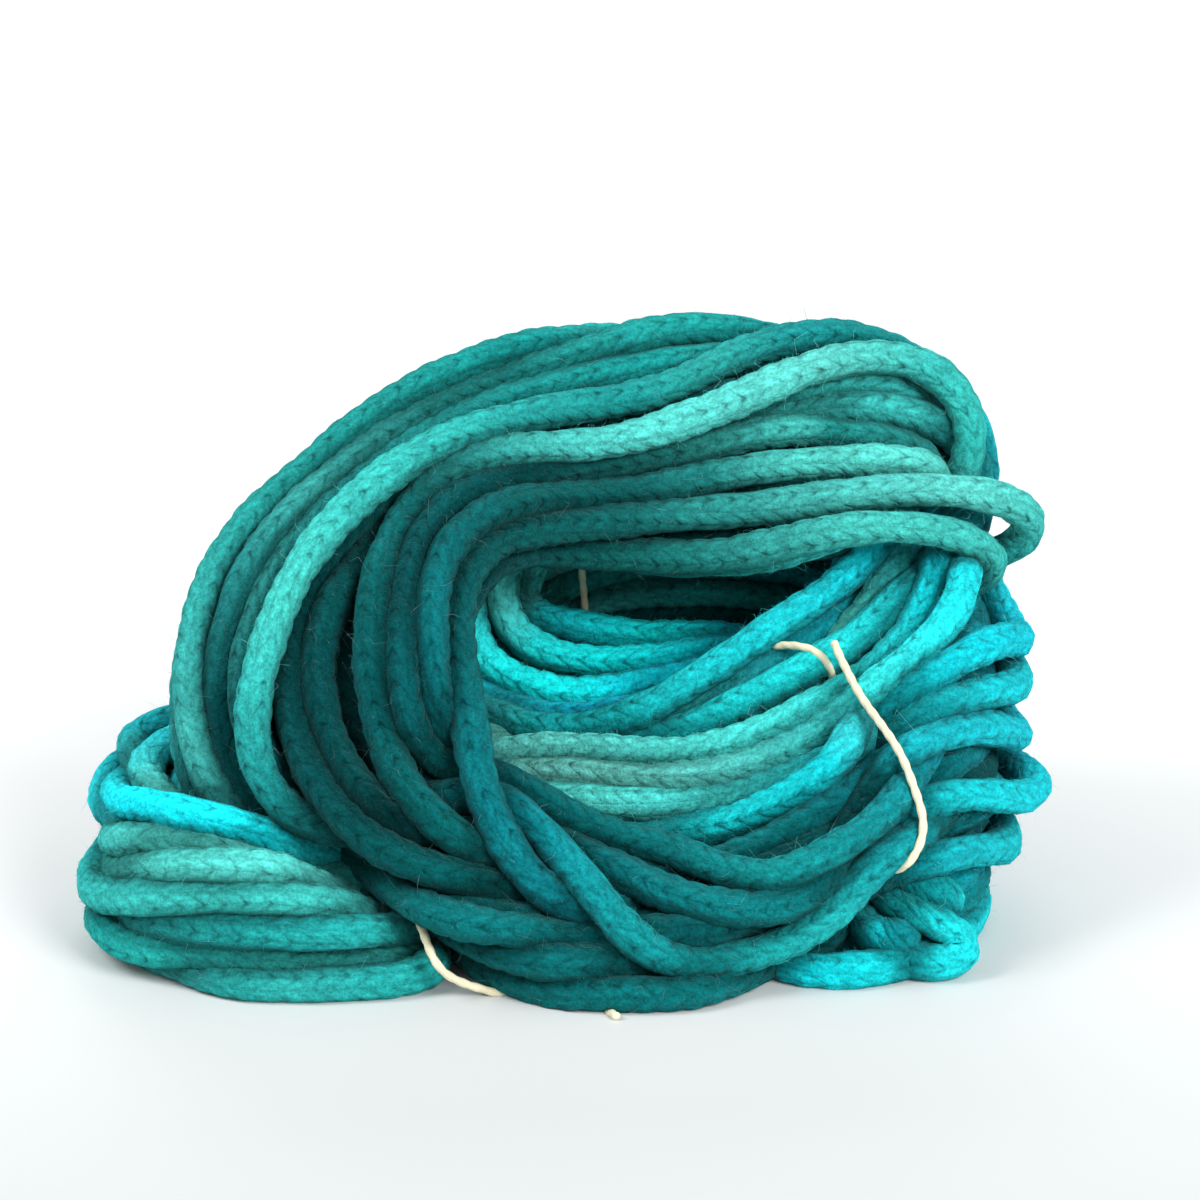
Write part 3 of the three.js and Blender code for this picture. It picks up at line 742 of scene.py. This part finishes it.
def tint(colour, factor):
    """A colour multiplied by a number that varies over the surface."""
    vector = Shade.node("ShaderNodeCombineXYZ", i0=factor, i1=factor, i2=factor).outputs[0]
    scaled = Shade.node("ShaderNodeVectorMath", {"operation": "MULTIPLY"}, i0=colour, i1=Shade(vector))
    return Shade(scaled.outputs[0])


def noise(where, scale, detail=3.0, roughness=0.6):
    """Cloudy noise from 0 to 1 at a number of lumps a metre."""
    made = Shade.node("ShaderNodeTexNoise", Vector=where, Scale=scale, Detail=detail, Roughness=roughness)
    return Shade(made.outputs[0])


def ramp(value, low, high):
    """0 below low, 1 above high and straight between them."""
    result = Shade.node("ShaderNodeMapRange", {"clamp": True}, i0=value, i1=low, i2=high, i3=0.0, i4=1.0)
    return Shade(result.outputs[0])


def new_material(name):
    """A material with an empty tree but for its shader and output."""
    material = bpy.data.materials.new(name)
    material.use_nodes = True
    Shade.tree = material.node_tree
    return material, material.node_tree.nodes["Principled BSDF"]


# The wool: matt and soft. The pattern follows the stitches: u counts the columns round a turn and v the
# stitches along it. Fibres lie along the legs of each V, felt and tufts break them up, and a small dimple
# lies where two legs meet. Painted shade darkens the colour in the dimples and in the grooves between
# the legs' bumps, and the crests are painted lighter.
wool, shader = new_material("wool")
uv = Shade.node("ShaderNodeUVMap", {"uv_map": "stitches"}).outputs[0]
split = Shade.node("ShaderNodeSeparateXYZ", i0=Shade(uv))
u, v = Shade(split.outputs[0]), Shade(split.outputs[1])
place = Shade(Shade.node("ShaderNodeTexCoord").outputs["Object"])
# the dye attribute holds each point's dye times its painted gap shade
dye_and_gap_shade = Shade(Shade.node("ShaderNodeAttribute", {"attribute_name": "dye_and_gap_shade"}).outputs["Color"])
wobble = noise(place, 180.0, 2.0)
felt = noise(place, 1100.0, 4.0, 0.75)
tufts = noise(place, 420.0, 3.0, 0.6)
patches = noise(place, 90.0, 3.0, 0.55)
fibre_place = Shade.node("ShaderNodeCombineXYZ", i0=u * 5.0, i1=v * 1.2, i2=0.0)
fibres = noise(Shade(fibre_place.outputs[0]), 1.0, 4.0, 0.65)

column = abs((u % 1.0) - 0.5) * 2.0
row = v - SLANT * column + Shade.maths("FLOOR", u) / 2.0 + 0.7 * (wobble - 0.5)
bump_shape = Shade.maths("SINE", row % 1.0 * math.pi)
leg_shape = Shade.maths("SINE", column * math.pi) ** 0.7
height = leg_shape * bump_shape ** 0.7
middle_of_v = 1.0 - ramp(column, 0.08, 0.42)
start_of_leg = 1.0 - ramp(bump_shape, 0.1, 0.6)
dimple = middle_of_v * start_of_leg * ramp(tufts, 0.35, 0.6)
mottle = 0.62 + 0.76 * ramp(felt, 0.3, 0.7)
streaks = 0.75 + 0.5 * ramp(fibres, 0.3, 0.7)
# painted shade: the colour is lighter on the crests of the legs' bumps, darker in the grooves between them
# and darker still in the dimples
lightness = (0.84 + 0.24 * height) * (0.65 + 0.7 * patches) * streaks * mottle
base = tint(dye_and_gap_shade, lightness * (1.0 - 0.55 * dimple))
Shade.tree.links.new(base.socket, shader.inputs["Base Color"])
relief = height * 0.4 + felt * 0.6 + tufts * 0.8 + fibres * 0.3 - dimple * 0.4
bump = Shade.node("ShaderNodeBump", Height=relief, Strength=0.9, Distance=0.0013)
Shade.tree.links.new(bump.outputs[0], shader.inputs["Normal"])
shader.inputs["Roughness"].default_value = 1.0
shader.inputs["Specular IOR Level"].default_value = 0.0
shader.inputs["Sheen Weight"].default_value = 0.1
shader.inputs["Sheen Roughness"].default_value = 0.5
shader.inputs["Sheen Tint"].default_value = (0.3, 0.95, 0.95, 1)


def wool_mesh(name, points, faces, uvs, colours):
    """A mesh object in wool from its points, faces, corners' pattern places and points' dye, which
    carries painted gap shade.
    """
    mesh = bpy.data.meshes.new(name)
    mesh.vertices.add(len(points))
    mesh.vertices.foreach_set("co", points.astype(np.float32).ravel())
    corners = faces.shape[1]
    mesh.loops.add(faces.size)
    mesh.loops.foreach_set("vertex_index", faces.astype(np.int32).ravel())
    mesh.polygons.add(len(faces))
    mesh.polygons.foreach_set("loop_start", np.arange(0, faces.size, corners, dtype=np.int32))
    mesh.update(calc_edges=True)
    mesh.shade_smooth()
    mesh.uv_layers.new(name="stitches").data.foreach_set("uv", uvs.astype(np.float32).ravel())
    rgba = np.concatenate([colours, np.ones((len(colours), 1))], axis=1)
    # the colours go into the dye attribute, painted gap shade included
    dyes = mesh.attributes.new("dye_and_gap_shade", "FLOAT_COLOR", "POINT")
    dyes.data.foreach_set("color", rgba.astype(np.float32).ravel())
    mesh.materials.append(wool)
    piece = bpy.data.objects.new(name, mesh)
    bpy.context.scene.collection.objects.link(piece)
    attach(piece, "root")
    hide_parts("hank")


# Painted shade between the turns: a point's dye is darkened where other turns lie close round it, and an
# open face is painted a little lighter than its dye.
BELL = 4 * MM
OPEN_FACE = 0.3
FULL_GAP = 1.2
OPEN_FACE_LIGHT = 1.08
SHADED = 0.66


def gap_shade(surface, others):
    """How much of its dye's lightness each surface point keeps, as painted shade. The bell curves of its
    distances to the other turns' middle lines are added up: the sum is small on an open face, which is
    painted a little lighter, and large in a gap, which is painted darker."""
    sparse = surface[::RINGS_PER_STITCH].astype(np.float32)
    points = sparse.reshape(-1, 3)
    others = others.astype(np.float32)
    gap2 = (points**2).sum(-1)[:, None] + (others**2).sum(-1)[None, :] - 2 * points @ others.T
    crowd = np.exp(-gap2 / (2 * BELL**2)).sum(axis=1).reshape(sparse.shape[:2])
    stitch = np.arange(len(surface)) / RINGS_PER_STITCH
    lower = np.floor(stitch).astype(int)
    part = (stitch - lower)[:, None]
    crowd = crowd[lower] * (1 - part) + crowd[(lower + 1) % len(crowd)] * part
    return OPEN_FACE_LIGHT - SHADED * np.clip((crowd - OPEN_FACE) / (FULL_GAP - OPEN_FACE), 0, 1)


# each turn took the dye a little further along and a little lighter or darker than its neighbours
TURNS_PER_PIECE = 4
FADE = 0.35
tone_shift = random.normal(0, 0.9, COUNT)
tone_light = 1 + random.normal(0, 0.16, COUNT)
tubes = []
for k in range(COUNT):
    surface, middle, s = yarn_tube(yarns[k], turn_side[k], k * 0.7)
    place_s = np.interp(s, np.arange(TURN_POINTS + 1), np.append(turn_s[k], turn_s[k][0] + len(ROWS)))
    outer = np.clip(np.interp(place_s, dense_s, dense_place[k, :, 0]), 0, 1)[:, None]
    dyed_s = place_s + tone_shift[k]
    colour = dye_at(DYE, dyed_s) * (1 - outer) + dye_at(OUTER_DYE, dyed_s) * outer
    colour = colour * tone_light[k]
    for low, high, dyes in led_places[k]:
        stops = np.array([paint(code) for code in dyes.split()])
        at = (place_s - low) / (high - low) * (len(stops) - 1)
        led_dye = np.stack([np.interp(at, np.arange(len(stops)), stops[:, n]) for n in range(3)], axis=1)
        share = np.clip(np.minimum(place_s - low, high - place_s) / FADE + 0.5, 0, 1)[:, None]
        colour = colour * (1 - share) + led_dye * share
    others = np.concatenate([yarns[n] for n in range(COUNT) if n != k])
    # each turn's colour is its dye times the painted gap shade
    tubes.append((surface, middle, colour[:, None, :] * gap_shade(surface, others)[..., None]))

for first_turn in range(0, COUNT, TURNS_PER_PIECE):
    points, faces, uvs, colours, base = [], [], [], [], 0
    for surface, _, colour in tubes[first_turn:first_turn + TURNS_PER_PIECE]:
        rings = len(surface)
        i = np.arange(rings)[:, None, None] + np.array([0, 1, 1, 0])
        j = np.arange(SIDES)[None, :, None] + np.array([0, 0, 1, 1])
        faces.append((base + i % rings * SIDES + j % SIDES).reshape(-1, 4))
        pattern = np.broadcast_arrays(j / SIDES * COLUMNS, i / RINGS_PER_STITCH)
        uvs.append(np.stack(pattern, axis=-1).reshape(-1, 2))
        points.append(surface.reshape(-1, 3))
        colours.append(colour.reshape(-1, 3))
        base += rings * SIDES
    number = first_turn // TURNS_PER_PIECE + 1
    wool_mesh(f"turns_{number}", *map(np.concatenate, (points, faces, uvs, colours)))

# The fuzz: single wool hairs that stand out of the turns where these face free air. Most are short and
# curl close to the yarn, and a few are long and pale. Each is a thin three-sided spike with one bend.
HAIRS = 42000
HAIR_PIECES = 3
HAIR_THICK = 0.06 * MM
HAIR_SUNK = 0.3 * MM
CLEAR = 0.7 * MM
TRIED_OUT = 1.6 * MM
LONG_SHARE = 0.06
surfaces = np.concatenate([surface.reshape(-1, 3) for surface, _, _ in tubes])
middles = np.concatenate([np.repeat(middle, SIDES, axis=0) for _, middle, _ in tubes])
# the hairs take the colours of the turns, which carry the painted gap shade
turn_dyes_and_gap_shade = np.concatenate([colour.reshape(-1, 3) for _, _, colour in tubes])
lines = np.concatenate(yarns[:COUNT])
line_square = (lines**2).sum(-1)


def free_air(points):
    """Whether each point lies outside all the turns and above the table."""
    found = np.zeros(len(points), bool)
    for k in range(0, len(points), 4000):
        block = points[k:k + 4000]
        gap2 = (block**2).sum(-1)[:, None] + line_square[None, :] - 2 * block @ lines.T
        found[k:k + 4000] = gap2.min(axis=1) > (WOOL / 2 + CLEAR) ** 2
    return found & (points[:, 2] > 1 * MM)


picks = random.integers(0, len(surfaces), HAIRS * 5)
outward = unit(surfaces[picks] - middles[picks])
picks = picks[free_air(surfaces[picks] + outward * TRIED_OUT)][:HAIRS]
outward = unit(surfaces[picks] - middles[picks])
root = surfaces[picks] - outward * HAIR_SUNK
sideways = unit(np.cross(outward, random.normal(0, 1, (len(picks), 3))))
across = np.cross(outward, sideways)
is_long = random.uniform(0, 1, (len(picks), 1)) < LONG_SHARE
long_length = random.uniform(3, 9, is_long.shape)
short_length = random.uniform(1.0, 3.0, is_long.shape)
hair_length = np.where(is_long, long_length, short_length) * MM
lean = random.uniform(0.3, 1.6, is_long.shape)
curl = random.normal(0, 0.7, is_long.shape)

# a hair's path: out, less and less, and more and more sideways, with a curl across that turns back
t = np.array([0, 0.45, 1.0])[:, None, None]
path = root + hair_length * (
    outward * (t * 0.85 - 0.45 * t**2)
    + sideways * lean * t**1.3 * 0.6
    + across * curl * t * (1.7 - 1.3 * t)
)
path[..., 2] = np.maximum(path[..., 2], 0.2 * MM)
turn = np.array([0, 1, 2]) * 2 * np.pi / 3
profile = sideways[:, None, :] * np.cos(turn)[:, None] + across[:, None, :] * np.sin(turn)[:, None]
thick = HAIR_THICK / 2 * np.where(is_long, 1.1, 1.0)[:, None]
hair_points = np.concatenate([
    path[0][:, None] + profile * thick, path[1][:, None] + profile * thick * 0.9, path[2][:, None],
], axis=1)
hair_faces = np.array([
    (0, 2, 1), (0, 1, 4), (0, 4, 3), (1, 2, 5), (1, 5, 4),
    (2, 0, 3), (2, 3, 5), (3, 4, 6), (4, 5, 6), (5, 3, 6),
])
# each hair is paler than the turn it grows from, whose colour carries the painted gap shade
hair_dye_and_gap_shade = np.minimum(turn_dyes_and_gap_shade[picks] * 1.6 + np.where(is_long, 0.18, 0.05), 1)
for k in range(HAIR_PIECES):
    chosen = slice(k, None, HAIR_PIECES)
    points = hair_points[chosen]
    faces = (np.arange(len(points))[:, None, None] * 7 + hair_faces).reshape(-1, 3)
    colours = np.repeat(hair_dye_and_gap_shade[chosen], 7, axis=0)
    uvs = np.full((faces.size, 2), 0.25)
    wool_mesh(f"fuzz_{k + 1}", points.reshape(-1, 3), faces, uvs, colours)

# The ties' threads: cream undyed cotton, two plies twisted together and cut off at both ends. Each is
# laid round the band to keep its turns together, and follows its settled middle line.
PLIES = 2
TWIST = 8 * MM
TIE_RING = 0.5 * MM
TIE_SIDES = 12
cotton, shader = new_material("cotton")
place = Shade(Shade.node("ShaderNodeTexCoord").outputs["Object"])
threads = noise(place, 2600.0, 3.0, 0.7)
soiling = noise(place, 300.0, 2.0)
clean_cream, soiled_cream = (*paint("F2ECD2"), 1), (*paint("DDD3AE"), 1)
cream = Shade.node("ShaderNodeMix", {"data_type": "RGBA"}, Factor=soiling, i6=clean_cream, i7=soiled_cream)
cream = tint(Shade(cream.outputs[2]), threads * 0.5 + 0.75)
Shade.tree.links.new(cream.socket, shader.inputs["Base Color"])
bump = Shade.node("ShaderNodeBump", Height=threads, Strength=0.5, Distance=0.0003)
Shade.tree.links.new(bump.outputs[0], shader.inputs["Normal"])
shader.inputs["Roughness"].default_value = 0.95
shader.inputs["Specular IOR Level"].default_value = 0.1


def tie_surface(points):
    """A closed thread round an open line: two round plies that wind round each other, so that the
    radius is largest across both of them and smallest between them. It narrows to rounded ends."""
    ends = np.vstack([2 * points[0] - points[1], points, 2 * points[-1] - points[-2]])
    length = np.linalg.norm(np.diff(points, axis=0), axis=1).sum()
    rings = round(length / TIE_RING)
    middle = along(ends, np.linspace(1, len(points) - 1e-9, rings))
    ahead = unit(np.gradient(middle, axis=0))
    flat_side = np.linalg.svd(middle - middle.mean(axis=0))[2][2]
    guide = unit(flat_side - (ahead @ flat_side)[:, None] * ahead)
    other = np.cross(ahead, guide)
    run = np.linspace(0, length, rings)[:, None]
    angle = -2 * np.pi * np.arange(TIE_SIDES)[None, :] / TIE_SIDES
    lobe = np.abs(np.cos((angle - run / TWIST * 2 * np.pi) * PLIES / 2))
    from_end = np.minimum(run, length - run) / TIE
    taper = np.sqrt(np.clip(from_end * 2, 0.05, 1))
    radius = TIE / 2 * (0.8 + 0.2 * lobe) * taper
    ring = guide[:, None, :] * np.cos(angle)[..., None] + other[:, None, :] * np.sin(angle)[..., None]
    surface = middle[:, None, :] + ring * radius[..., None]
    surface[..., 2] = np.maximum(surface[..., 2], 0.05 * MM)
    return surface


for number, name in enumerate(TIES):
    surface = tie_surface(yarns[COUNT + number])
    rings = len(surface)
    i = np.arange(rings - 1)[:, None, None] + np.array([0, 1, 1, 0])
    j = np.arange(TIE_SIDES)[None, :, None] + np.array([0, 0, 1, 1])
    quads = (i * TIE_SIDES + j % TIE_SIDES).reshape(-1, 4).tolist()
    ends = [list(range(TIE_SIDES)), list(range(rings * TIE_SIDES - 1, (rings - 1) * TIE_SIDES - 1, -1))]
    mesh = bpy.data.meshes.new(name + "_thread")
    mesh.from_pydata(surface.reshape(-1, 3).tolist(), [], quads + ends)
    mesh.shade_smooth()
    mesh.materials.append(cotton)
    piece = bpy.data.objects.new(name + "_thread", mesh)
    bpy.context.scene.collection.objects.link(piece)
    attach(piece, "root")
    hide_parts(name)

# The floor is a pale table top, painted darker towards the camera as painted shade.
FLOOR_REACH = 6
floor_mesh = bpy.data.meshes.new("floor")
floor_corners = [(x * FLOOR_REACH, y * FLOOR_REACH, 0) for x, y in ((-1, -1), (1, -1), (1, 1), (-1, 1))]
floor_mesh.from_pydata(floor_corners, [], [(0, 1, 2, 3)])
floor = bpy.data.objects.new("floor", floor_mesh)
bpy.context.scene.collection.objects.link(floor)
floor_material, shader = new_material("table_top")
floor_place = Shade(Shade.node("ShaderNodeTexCoord").outputs["Object"])
floor_y = Shade(Shade.node("ShaderNodeSeparateXYZ", i0=floor_place).outputs[1])
# painted shade: the floor runs from grey near the camera to white further back
far = ramp(floor_y, -0.3, 0.15)
near_painted_shade, far_white = (0.41, 0.435, 0.43, 1), (0.88, 0.9, 0.91, 1)
floor_colour = Shade.node("ShaderNodeMix", {"data_type": "RGBA"}, Factor=far, i6=near_painted_shade, i7=far_white)
Shade.tree.links.new(floor_colour.outputs[2], shader.inputs["Base Color"])
shader.inputs["Roughness"].default_value = 0.6
floor_mesh.materials.append(floor_material)

# The light is soft and white: the room's own, a window at the left, a broad lamp at the front right and
# one that keeps the backdrop white.
ROOM_LIGHT = 0.55
world = bpy.data.worlds.new("studio")
bpy.context.scene.world = world
world.use_nodes = True
world.node_tree.nodes["Background"].inputs[0].default_value = (1, 1, 1, 1)
world.node_tree.nodes["Background"].inputs[1].default_value = ROOM_LIGHT


def soft_box(name, place, aim, size, watts):
    """A square lamp at a place that faces a point."""
    lamp = bpy.data.lights.new(name, "AREA")
    lamp.size = size
    lamp.energy = watts
    lamp_object = bpy.data.objects.new(name, lamp)
    direction = np.array(aim, float) - np.array(place, float)
    lamp_object.location = place
    lamp_object.rotation_euler = Vector(direction).to_track_quat("-Z", "Y").to_euler()
    bpy.context.scene.collection.objects.link(lamp_object)


soft_box("window", (-0.75, -0.3, 0.85), (0, 0, 0.05), 0.5, 7.5)
soft_box("front_light", (0.7, -0.9, 0.75), (0, 0, 0.05), 0.6, 17)
soft_box("backdrop_light", (0, 2.6, 1.8), (0, 3.2, 0), 2.0, 60)
